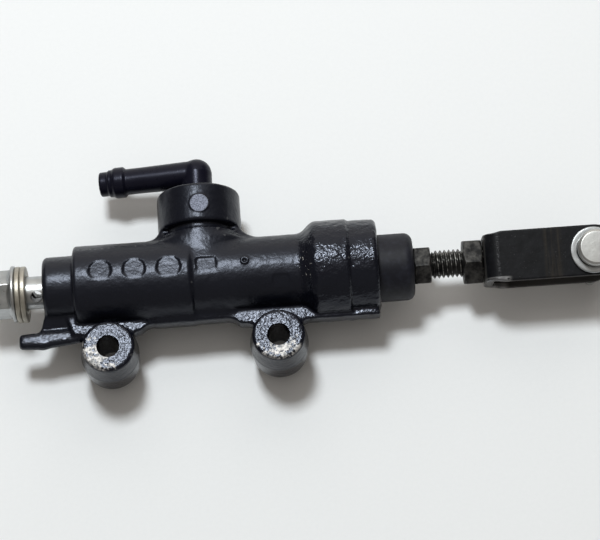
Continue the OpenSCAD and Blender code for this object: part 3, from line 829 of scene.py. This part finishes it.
def lug_field(x, y, z):
    """Hose stop beside the outlet: a bent finger on a thin web."""
    finger = capsule_field(x, y, z, (-31.5, -13.6, 0), (-41.3, -14.4, 0), 2.0, 2.35)
    tip = capsule_field(x, y, z, (-41.3, -14.4, 0), (-46.6, -14.4, 0), 2.35, 2.1)
    finger = smooth_max(smooth_min(finger, tip, 0.6), -47.9 - x, 0.6)
    finger = smooth_max(finger, z - 1.5, 0.8)
    side = np.maximum(-(x + 40.9) * 0.94 + (y + 9) * 0.34, x + 31)
    side = np.maximum(side, np.maximum(y, -14.4 - y))
    return smooth_min(finger, both(side, np.abs(z + 0.8 - 0.5 * (y + 11)) - 1.6, 0.6), 1.2)


def cup_field(x, y, z, body):
    """Inlet cup on a grooved neck that flares into the barrel at its sides."""
    stretch = 1.10 + 0.34 * (1 - step(y, 9.6, 12.6)) ** 1.5
    neck = rod_field(radius_of((x - CUP_X) / stretch, z), y, 10.2, 0, CUP_BASE - 1.7, 0.15)
    body = smooth_min(body, neck, 1.1)
    reach = 11.5 + 0.5 * np.clip(14 - y, 0, 6) ** 1.6
    band = np.maximum(np.maximum(np.abs(z) - 4.5, y - CUP_BASE - 0.5), 4 - y)
    body = smooth_min(body, both(np.abs(x - CUP_X) - reach, band, 1.5) * 0.75, 1.2)
    stem = rod_field(radius_of(x - CUP_X, z), y, 9.5, 0, CUP_BASE + 2, 0.1)
    body = smooth_min(body, stem, 0.4)
    cup = rod_field(radius_of(x - CUP_X, z), y, CUP_R, CUP_BASE, CUP_TOP, 0.75)
    body = smooth_min(body, cup, 0.3)
    disc = rod_field(radius_of(x - DISC_X, y - DISC_Y), z, 2.6, 0, CUP_R + 0.16, 0.1)
    return smooth_min(body, disc, 0.2)


# Flat marks left by the mould: station along X, degrees from the top towards the cup, radius of
# the barrel there, half width, half height and depth
MARKS = (
    (-23.9, 6.0, 11.65, 3.1, 3.1, 0.44),
    (-14.5, 5.0, 11.65, 3.1, 3.1, 0.46),
    (-4.9, 4.5, 11.65, 3.3, 3.3, 0.46),
    (5.4, 5.0, 10.75, 2.8, 2.4, 0.32),
    (25.8, -27.0, 10.43, 2.3, 1.6, 0.2),
)


def marks_field(x, y, z, body):
    """Shallow flats in the barrel's top, and one small raised ring."""
    for station, angle, radius, wide, high, depth in MARKS:
        c, s = math.cos(math.radians(angle)), math.sin(math.radians(angle))
        across = y * c - z * s
        up = y * s + z * c
        power = 2 if wide == high else 6
        shape = ((np.abs(x - station) / wide) ** power
                 + (np.abs(across) / high) ** power) ** (1 / power)
        pocket = smooth_max((shape - 1) * min(wide, high), radius - depth - up, 0.15)
        body = smooth_max(body, -pocket, 0.2)
    tube = radius_of(radius_of(x - 16.1, y - 1.3) - 0.8, z - 10.82) - 0.32
    return smooth_min(body, tube, 0.15)


def cast_field(x, y, z):
    body = barrel_field(x, y, z)
    between = np.clip((13.5 - np.abs(x)) / 4.0, 0, 1)
    body = smooth_min(body, web_field(x, y, z), 0.7 + 2.4 * between)
    body = smooth_min(body, lug_field(x, y, z), 0.7)
    for centre in BOSSES:
        body = smooth_min(body, boss_field(x, y, z, centre), 0.8)
    body = cup_field(x, y, z, body)
    body = marks_field(x, y, z, body)
    # flash line where the mould halves met
    return body - 0.10 * np.exp(-(z / 0.28) ** 2)


def value_noise(points, size, seed):
    """Smooth noise from -1 to 1 at points, with lumps about size apart."""
    rng = np.random.default_rng(seed)
    table = rng.uniform(-1, 1, 4096)
    p = points / size
    cell = np.floor(p).astype(np.int64)
    f = p - cell
    f = f * f * (3 - 2 * f)
    total = np.zeros(len(points))
    for corner in range(8):
        offset = np.array([(corner >> k) & 1 for k in range(3)])
        c = cell + offset
        key = (c[:, 0] * 73856093 ^ c[:, 1] * 19349663 ^ c[:, 2] * 83492791) & 4095
        total += np.prod(np.where(offset == 1, f, 1 - f), axis=1) * table[key]
    return total


def roughen(points, normals):
    """Cast skin: uneven all over, and lumpier on the collar."""
    amount = 0.040 * value_noise(points, 3.2, 11) + 0.025 * value_noise(points, 1.35, 12)
    on_collar = step(points[:, 0], 31, 35)
    amount += on_collar * (0.09 * value_noise(points, 1.8, 13)
                           + 0.05 * value_noise(points, 0.9, 14))
    return points + normals * (amount - 0.05)[:, None]


def make_housing():
    low = (-50, -AXIS_Y - 10.5, -15.5)
    high = (54, 27, 15.6)
    points, quads = mesh_of_field(cast_field, low, high, 0.32)
    rough = bpy.data.meshes.new("rough")
    rough.from_pydata(points, [], quads)
    normals = np.zeros(3 * len(points), np.float32)
    rough.vertex_normals.foreach_get("vector", normals)
    points = roughen(points, normals.reshape(-1, 3))
    bpy.data.meshes.remove(rough)
    piece = new_piece("cast_body", points, quads, cast_paint(), smooth_angle=60)

    # bore, its retaining grooves and the boot's seat
    cut(piece, [
        (-20, 0), (-20, BORE_R - 0.8), (-19.2, BORE_R), (43.3, BORE_R), (43.3, 8.6), (44.65, 8.6),
        (44.65, 9.4), (45.95, 9.4), (45.95, 8.6), (46.3, 8.6), (46.3, 9.7), (46.9, 9.7),
        (46.9, 10.5), (49.5, 10.5), (49.5, 9.7), (COLLAR_END - 0.5, 9.7), (COLLAR_END + 0.3, 10.5),
        (COLLAR_END + 3, 10.5), (COLLAR_END + 3, 0)], sides=128)
    # outlet port and its passage to the bore
    cut(piece, [
        (-43, 0), (-43, 5.6), (PORT_FACE, 5.6), (PORT_FACE + 0.6, 5.0), (-26.4, 5.0),
        (-25.4, 1.5), (-19, 1.5), (-19, 0)])
    # inlet cup, its ring groove and the seat of the elbow's seal
    cut(piece, [
        (12.2, 0), (12.2, 6.9), (17.5, 6.9), (17.5, 9.7), (20.35, 9.7), (20.35, 10.4),
        (21.65, 10.4), (21.65, 9.7), (CUP_TOP - 0.6, 9.7), (CUP_TOP + 0.2, 10.4),
        (CUP_TOP + 2, 10.4), (CUP_TOP + 2, 0)], BORE @ shift(CUP_X) @ rotation(90, "Z"))
    # supply and compensating ports
    for x, r in ((9.5, 1.5), (-1.0, 0.6)):
        cut(piece, [(0, 0), (0, r), (13.2, r), (13.2, 0)], BORE @ shift(x) @ rotation(90, "Z"), 32)
    # mounting holes, with ridges left by the drill
    top = AXIS_Z + BOSS_FRONT
    r = BOSS_HOLE_R
    ridges = [(1.5 + 0.5 * k, r + 0.14 * (k % 2)) for k in range(27)]
    for x in BOSSES:
        cut(piece, [
            (-3, 0), (-3, r + 0.5), (0, r + 0.5), (0.5, r), *ridges, (top - 0.1, r),
            (top + 0.05, r + 0.1), (top + 3, r + 0.1), (top + 3, 0)],
            shift(x + STEP_X) @ rotation(-90, "Y"), 64, 50)
    settle(piece, "housing")


# ---- outlet ---------------------------------

BOLT_FLANGE = -48.4
BOLT_FLANGE_R = 7.9
NUT_FLATS = 12.0    # across the bolt's head and the lock nut


def make_banjo_bolt():
    hole_r = 1.6
    cross = BORE @ rotation(34, "X") @ shift(-42.4) @ rotation(-90, "Y")
    material = zinc("bolt_zinc", (0.26, 0.27, 0.275), (0.56, 0.57, 0.57),
                    hole=(cross.translation, cross.col[0].xyz, hole_r, 4.6))

    def field(x, y, z):
        head = nut_field(x, y, z, -56.5, -48.9, NUT_FLATS, 24, chamfer_x1=False)
        rho = radius_of(y, z)
        flange = both(rho - BOLT_FLANGE_R, np.maximum(-49.5 - x, x - BOLT_FLANGE), 0.3)
        skirt = both(rho - (7.3 + (x + 49.4) * 1.2), np.maximum(-50.4 - x, x + 49.0), 0.1)
        body = smooth_min(smooth_min(head, flange, 0.5), skirt, 0.3)
        shank = rod_field(rho, x, 4.6, -50, -40.4, 0.1)
        body = smooth_min(body, shank, 0.5)
        dish = both(rho - 3.8, x + 55.8, 0.2)
        return smooth_max(body, -dish, 0.25)
    bolt = sculpted("banjo_bolt_body", field, (-57.2, -8.6, -8.6), (-39.9, 8.6, 8.6), 0.2, material)
    combine(bolt, threaded(-40.9, -29.5, 4.93), "UNION", 45)
    cut(bolt, [(-44.6, 0), (-44.6, 1.75), (-29.2, 1.75), (-29.2, 0)], sides=48)
    cut(bolt, [(-7, 0), (-7, 3.9), (-4.45, hole_r), (4.45, hole_r), (7, 3.9), (7, 0)], cross, 48)
    settle(bolt, "banjo_bolt")


def make_crush_washers(material):
    for node, x0, y, z in (("crush_washer_outer", -48.35, -0.2, -0.3),
                           ("crush_washer_inner", -46.80, -0.3, -0.1)):
        at = BORE @ shift(0, y, z)
        settle(ring(node + "_piece", x0, x0 + 1.5, BOLT_FLANGE_R, 5.1, material, 0.35, at), node)


# ---- inlet ----------------------------------

TUBE_Y = mounts["inlet_barb"]["pos_m"][1] / MM - AXIS_Y
TUBE_LENGTH = 27.8
STEM_R = 4.3


def make_elbow(material):
    def field(x, y, z):
        around = radius_of(x, z)
        body = rod_field(around, y, 6.6, 12.6, 17.8, 0.2)
        body = smooth_max(body, -rod_field(np.abs(around - 6.9), y, 2.5, 13.9, 16.3, 0.05), 0.1)
        body = smooth_min(body, rod_field(around, y, 9.55, 17.6, 20.2, 0.2), 0.1)
        body = smooth_min(body, rod_field(around, y, STEM_R, 19, TUBE_Y, 0.05), 0.8)
        corner = np.sqrt(x * x + (y - TUBE_Y) ** 2 + z * z) - STEM_R
        body = smooth_min(body, corner, 0.3)
        rho = radius_of(y - TUBE_Y, z)
        tip = x + TUBE_LENGTH
        bead = 3.5 + 0.4 * step(tip, 2.3, 2.8) + 0.5 * step(tip, 3.5, 4.6)
        r = bead + (3.68 + 0.25 * step(tip, 7.8, TUBE_LENGTH) - bead) * step(tip, 6.9, 7.8)
        tube = both(rho - r, np.maximum(-tip, x), 0.45)
        body = smooth_min(body, tube, 0.35)
        body = smooth_max(body, np.minimum(-x, 2.1 - rho), 0.3)
        return smooth_max(body, np.minimum(TUBE_Y - y, 2.1 - around), 0.3)
    settle(sculpted("inlet_elbow_piece", field, (-28.9, 12.0, -10.2), (10.2, 38, 10.2), 0.22,
                    material, ELBOW), "inlet_elbow")


def make_o_ring(material):
    height, radius, cord_r = 15.1, 5.6, 1.12
    outline = [(height + cord_r * c, radius + cord_r * s) for c, s in circle(20)]
    at = ELBOW @ rotation(90, "Z")
    settle(turned("inlet_o_ring_piece", outline, material, 72, at, 80), "inlet_o_ring")


def make_snap_ring(node, r_out, at, material):
    """Internal snap ring with two drilled lugs, lying in the local XY plane from z = 0 up."""
    band, half = 1.7, 0.6

    def field(x, y, z):
        wall = np.maximum(radius_of(x, y) - r_out, r_out - band - radius_of(x - 0.37, y))
        angle = np.degrees(np.arctan2(np.abs(y), x))
        wall = np.maximum(wall, (20 - angle) * math.radians(1) * r_out)
        c, s = math.cos(math.radians(26)), math.sin(math.radians(26))
        lug, eye = r_out - 1.6, r_out - 1.8
        flat = smooth_min(wall, radius_of(x - lug * c, np.abs(y) - lug * s) - 1.5, 0.3)
        flat = np.maximum(flat, 0.68 - radius_of(x - eye * c, np.abs(y) - eye * s))
        return both(flat, np.abs(z - half) - half, 0.15)
    reach = r_out + 0.6
    settle(sculpted(node + "_piece", field, (-reach, -reach, -0.6), (reach, reach, 1.8), 0.18,
                    material, at), node)


# ---- piston group ---------------------------

PISTON_R = 6.95


def make_piston(material):
    nose, r = 2.1, PISTON_R
    socket_r = BALL_R + 0.05
    mouth = math.acos(0.8 / socket_r)
    socket = [(BALL_X + socket_r * math.cos(a), socket_r * math.sin(a))
              for a in (mouth + (math.pi - mouth) * k / 14 for k in range(15))]
    socket[-1] = (BALL_X - socket_r, 0)
    outline = rounded([
        (0.6, 0), (0.6, nose), (5.6, nose), (5.6, r), (8.1, r), (9.1, 4.2), (31.5, 4.2),
        (32.5, r), (34.5, r), (34.5, 4.9), (38.0, 4.9), (38.0, r), (41.8, r), (41.8, 5.2)],
        [0, 0.4, 0.1, 0.25, 0.25, 0.4, 0.4, 0.25, 0.2, 0.1, 0.1, 0.2, 0.4, 0])
    settle(turned("piston_piece", outline + socket, material), "piston")


def make_cup_seal(node, x0, x1, r_in, material):
    web = BORE_R - r_in
    outline = rounded([
        (x0 + 0.5, r_in), (x0, r_in + 0.12 * web), (x0, r_in + 0.32 * web),
        (x0 + 1.1, r_in + 0.5 * web), (x0 - 0.2, r_in + 0.72 * web), (x0 - 0.2, 6.75),
        (x0 + 0.4, 6.95), (x1 - 0.8, 6.75), (x1 - 0.05, 6.4), (x1 - 0.05, r_in)], 0.12, True, 3)
    settle(turned(node + "_piece", outline, material, smooth_angle=50), node)


def make_spring(material):
    wire, radius, turns = 0.65, 4.9, 8
    low, high = -19.4 + wire, 1.65 - wire
    closed = 1.1 / turns
    path = []
    for i in range(turns * 36 + 1):
        u = i / (turns * 36)
        rise = np.interp(u, (0, closed, 1 - closed, 1), (0, 0.03, 0.97, 1))
        a = 2 * math.pi * turns * u
        path.append((low + (high - low) * rise, radius * math.cos(a), radius * math.sin(a)))
    piece = settle(swept("return_spring_piece", path, wire, material, 12), "return_spring")
    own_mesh(piece)


# ---- pushrod and boot -----------------------

HEX_X0 = 62.9
HEX_X1 = 67.7
NUT_X0 = 76.7
NUT_X1 = 82.1
ROD_END = 94.0
CORNER_TURN = 20


def make_pushrod(material):
    def field(x, y, z):
        rho = radius_of(y, z)
        ball = np.sqrt((x - BALL_X) ** 2 + y * y + z * z) - BALL_R
        body = smooth_min(ball, rod_field(rho, x, 3.4, 42, HEX_X0 + 1, 0.1), 1.2)
        body = smooth_min(body, nut_field(x, y, z, HEX_X0, HEX_X1, 10.0, CORNER_TURN + 30), 0.3)
        return smooth_min(body, rod_field(rho, x, 3.15, HEX_X1 - 1, HEX_X1 + 1.0, 0.1), 0.3)
    rod = sculpted("pushrod_piece", field, (35.8, -6.2, -6.2), (69.0, 6.2, 6.2), 0.18, material)
    combine(rod, threaded(HEX_X1 + 0.25, ROD_END, THREAD_R - 0.05, lead=0.6), "UNION", 45)
    settle(rod, "pushrod")


def make_boot(material):
    x0, x1, r = 46.4, 62.9, 9.45
    hole, inner = 3.6, 8.15
    outline = rounded([
        (x0, inner), (x0, r), (x0 + 0.6, r), (x0 + 0.6, 10.4), (x0 + 3, 10.4), (x0 + 3, r),
        (x1, r), (x1, hole + 0.3), (x1 - 0.3, hole), (59.5, hole), (59.2, hole + 0.9),
        (x1 - 1.3, hole + 1.3), (x1 - 1.3, inner)],
        [0.1, 0.2, 0.1, 0.3, 0.3, 0.2, 2.4, 0.3, 0.1, 0.1, 0.2, 0.3, 1.2], True, 8)
    piece = settle(turned("dust_boot_piece", outline, material, smooth_angle=50), "dust_boot")
    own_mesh(piece)


def make_lock_nut(material):
    def field(x, y, z):
        body = nut_field(x, y, z, NUT_X0, NUT_X1, NUT_FLATS, CORNER_TURN + 30)
        return drilled(body, radius_of(y, z), THREAD_R, x, (NUT_X0, NUT_X1))
    settle(sculpted("lock_nut_piece", field, (NUT_X0 - 0.6, -7.4, -7.4),
                    (NUT_X1 + 0.6, 7.4, 7.4), 0.18, material), "lock_nut")


# ---- clevis ---------------------------------

CLEVIS_X0 = 82.4
CLEVIS_H = 17.0
SHEET = 2.5
EAR_R = 7.05
PIN_R = 4.0
COTTER_Z = -10.9


def make_clevis(material):
    mid = (CLEVIS_H - SHEET) / 2
    bend = 4.2 - SHEET / 2

    def field(x, y, z):
        # sheet along a U: how far from its middle line
        dx = (CLEVIS_X0 + SHEET / 2 + bend) - x
        dz = np.abs(z) - (mid - bend)
        line = np.minimum(np.maximum(dx, dz), 0) \
            + radius_of(np.maximum(dx, 0), np.maximum(dz, 0)) - bend
        sheet = np.abs(line) - SHEET / 2
        # outline of the blank, a little narrower across the bend
        half = EAR_R - 0.45 * (1 - step(x, CLEVIS_X0 + 2.5, CLEVIS_X0 + 5.5))
        ear = radius_of(np.maximum(x - PIN_X, 0), y) - half
        body = both(ear, sheet, 0.3)
        body = smooth_max(body, PIN_R + 0.05 - radius_of(x - PIN_X, y), 0.15)
        return smooth_max(body, np.minimum(4.25 - radius_of(y, z), CLEVIS_X0 + 4 - x), 0.15)
    settle(sculpted("clevis_piece", field, (CLEVIS_X0 - 0.7, -7.8, -9.2),
                    (PIN_X + EAR_R + 0.8, 7.8, 9.2), 0.2, material, CLEVIS), "clevis")


def make_joint_nut(material):
    x0 = CLEVIS_X0 + SHEET + 0.05
    x1 = x0 + 6.4

    def field(x, y, z):
        body = nut_field(x, y, z, x0, x1, 11.6, 30, chamfer_x0=False)
        rho = radius_of(y, z)
        body = smooth_max(body, (rho - 4.3 - (x - x0)) * 0.707, 0.15)
        return drilled(body, rho, THREAD_R, x, (x1,))
    settle(sculpted("joint_nut_piece", field, (x0 - 0.6, -7.4, -7.4), (x1 + 0.6, 7.4, 7.4), 0.2,
                    material, CLEVIS), "joint_nut")


def make_clevis_pin(material):
    seat, top, low, head_r = 9.8, 13.2, -13.1, 5.05
    outline = rounded([
        (low, 0), (low, PIN_R - 0.7), (low + 0.7, PIN_R), (seat, PIN_R), (seat, head_r),
        (top - 0.55, head_r), (top, head_r - 0.7), (top, 0)],
        [0, 0.1, 0.1, 0.1, 0.3, 0.5, 0.4, 0], steps=6)
    pin = turned("clevis_pin_piece", outline, material, at=PIN)
    at = PIN @ shift(COTTER_Z) @ rotation(90, "Z")
    cut(pin, [(-6, 0), (-6, 1.15), (6, 1.15), (6, 0)], at, 40)
    settle(pin, "clevis_pin")


def make_pin_washers(material):
    for node, z0, x, y in (("head_washer", 8.55, -0.45, -0.21),
                           ("keeper_washer", -9.75, -0.15, 0.30)):
        at = CLEVIS @ shift(PIN_X + x, y) @ rotation(-90, "Y")
        settle(ring(node + "_piece", z0, z0 + 1.2, 6.45, PIN_R + 0.6, material, 0.3, at), node)


def make_cotter(material):
    """Split pin: an eye at the front, two legs through the pin, bent apart behind it."""
    leg, wire, eye, gap = 5.2, 0.5, 1.15, 0.52
    tail, bend = 2.9, 0.9
    splay = math.radians(55)
    half = [(gap + tail * math.sin(splay), leg + tail * math.cos(splay))]
    for k in range(7):
        a = splay * (1 - k / 6)
        half.append((gap + bend * (1 - math.cos(a)), leg + 0.1 + bend * (math.sin(a) - 0.5)))
    half += [(gap, y) for y in (3, 1, -1, -3, 0.3 - leg)]
    half += [(gap + (eye - gap) * (k / 8) ** 0.8, 0.3 - leg - k / 8) for k in range(1, 8)]
    for k in range(1, 7):
        a = math.radians(15 * k)
        half.append((eye * math.cos(a), -leg - 0.7 - eye * math.sin(a) * 0.9))
    path = [(-x, y, 0) for x, y in half] + [(x, y, 0) for x, y in half[-2::-1]]
    at = CLEVIS @ shift(PIN_X, 0, COTTER_Z)
    settle(swept("cotter_pin_piece", path, wire, material, at=at), "cotter_pin")


# ---- build ----------------------------------

make_camera()
make_studio()
make_housing()

ZINC = zinc("zinc_plate", (0.26, 0.27, 0.28), (0.46, 0.47, 0.47), (0.26, 0.44))
SPRING_STEEL = plain_metal("spring_steel", (0.20, 0.20, 0.21), (0.42, 0.42, 0.43))
SEAL = rubber("seal_rubber", (0.012, 0.012, 0.012), (0.03, 0.03, 0.03), (0.4, 0.6))
STEEL = blackened("dark_steel", (0.007, 0.007, 0.0075), (0.060, 0.058, 0.055), (0.42, 0.41, 0.39))

make_banjo_bolt()
make_crush_washers(tarnished())
make_elbow(moulded())
make_o_ring(SEAL)
make_snap_ring("inlet_circlip", 10.3,
               BORE @ shift(CUP_X, 20.4) @ rotation(-90, "X") @ rotation(-60, "Z"), SPRING_STEEL)
make_snap_ring("pushrod_circlip", 9.35, BORE @ shift(44.7) @ rotation(90, "Y"), SPRING_STEEL)
make_piston(plain_metal("anodised", (0.30, 0.26, 0.17), (0.46, 0.42, 0.32)))
make_cup_seal("primary_cup", 2.95, 5.6, 2.15, SEAL)
make_cup_seal("secondary_cup", 34.85, 38.0, 4.95, SEAL)
settle(ring("spring_seat_piece", 1.7, 2.6, 6.2, 2.15, SPRING_STEEL, 0.15), "spring_seat")
make_spring(SPRING_STEEL)
make_pushrod(STEEL)
settle(ring("stop_washer_piece", 43.35, 44.55, 8.55, 4.3, SPRING_STEEL, 0.2), "stop_washer")
make_boot(rubber("boot_rubber", (0.005, 0.0055, 0.010), (0.012, 0.013, 0.021), (0.45, 0.62)))
make_lock_nut(STEEL)
make_clevis(clevis_plating())
make_joint_nut(STEEL)
make_clevis_pin(zinc("pin_zinc", (0.36, 0.36, 0.355), (0.56, 0.56, 0.54), (0.34, 0.48)))
make_pin_washers(ZINC)
make_cotter(ZINC)
